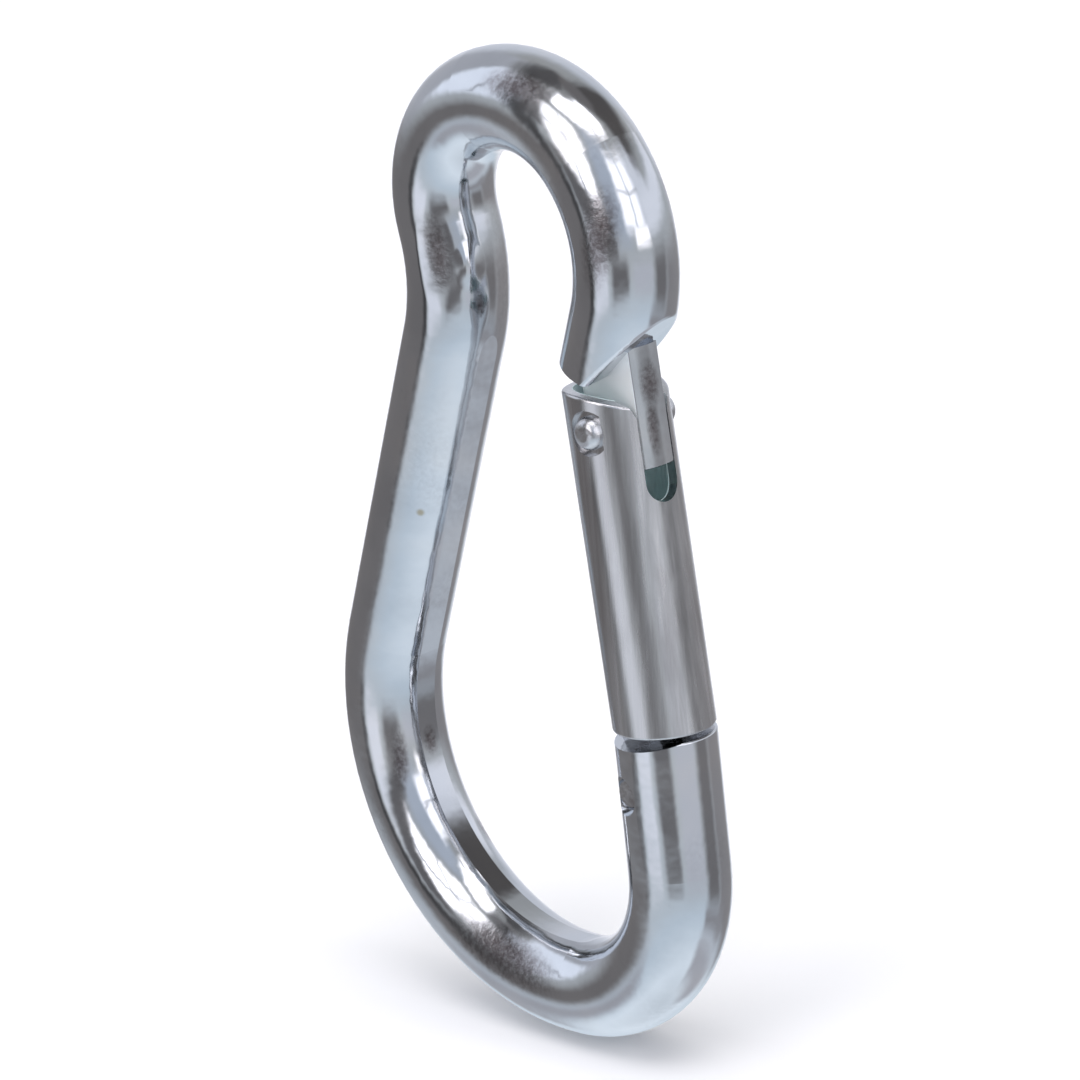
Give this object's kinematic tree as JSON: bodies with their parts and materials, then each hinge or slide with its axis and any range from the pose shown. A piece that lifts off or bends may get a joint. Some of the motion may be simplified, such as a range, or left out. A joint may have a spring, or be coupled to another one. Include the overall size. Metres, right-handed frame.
{
  "type": "spring snap hook",
  "caption": "Pear-shaped spring snap hook bent from round wire, with a sprung gate that swings into the eye and latches on a riveted pin.",
  "frame": {"origin": "upper load seat: the top of the eye, on the inner surface of the wire, in the middle of the wire's thickness", "axes": "+Z along the load line towards the narrow end of the hook; +X towards the gate side; +Y square to the plane of the hook"},
  "size_m": [0.0403, 0.009, 0.08],
  "materials": {
    "plated_wire": "bright zinc plate over drawn steel wire, bluish, mirror-like with fine pits at the bends",
    "plated_gate": "zinc plate over turned bar, duller, with fine streaks along its length",
    "plated_pin": "zinc-plated rivet wire, head peened",
    "plain_steel": "plain turned steel, oiled",
    "spring_steel": "dark spring wire"
  },
  "bodies": {
    "hook": {"hook_body": "plated_wire", "hinge_pin": "plated_pin", "closing_spring": "spring_steel"},
    "gate": {"gate": "plated_gate", "latch_pin": "plated_pin"},
    "plunger": {"plunger": "plain_steel"}
  },
  "joints": [
    {"name": "gate_hinge", "type": "hinge", "parent": "hook", "child": "gate", "pos_m": [0.00997, 0, -0.04868], "axis": [0, -1, 0], "range_deg": [0, 22.5], "stiffness_Nm_per_rad": 0.03, "springref_deg": -68.75},
    {"name": "plunger_slide", "type": "slide", "parent": "hook", "child": "plunger", "axis": [0.0384, 0, -0.9993], "range_m": [0, 0.0006], "deforming": ["closing_spring"]}
  ],
  "couplings": [
    {"joint": "plunger_slide", "follows": "gate_hinge", "m_per_rad": 0.0013}
  ]
}
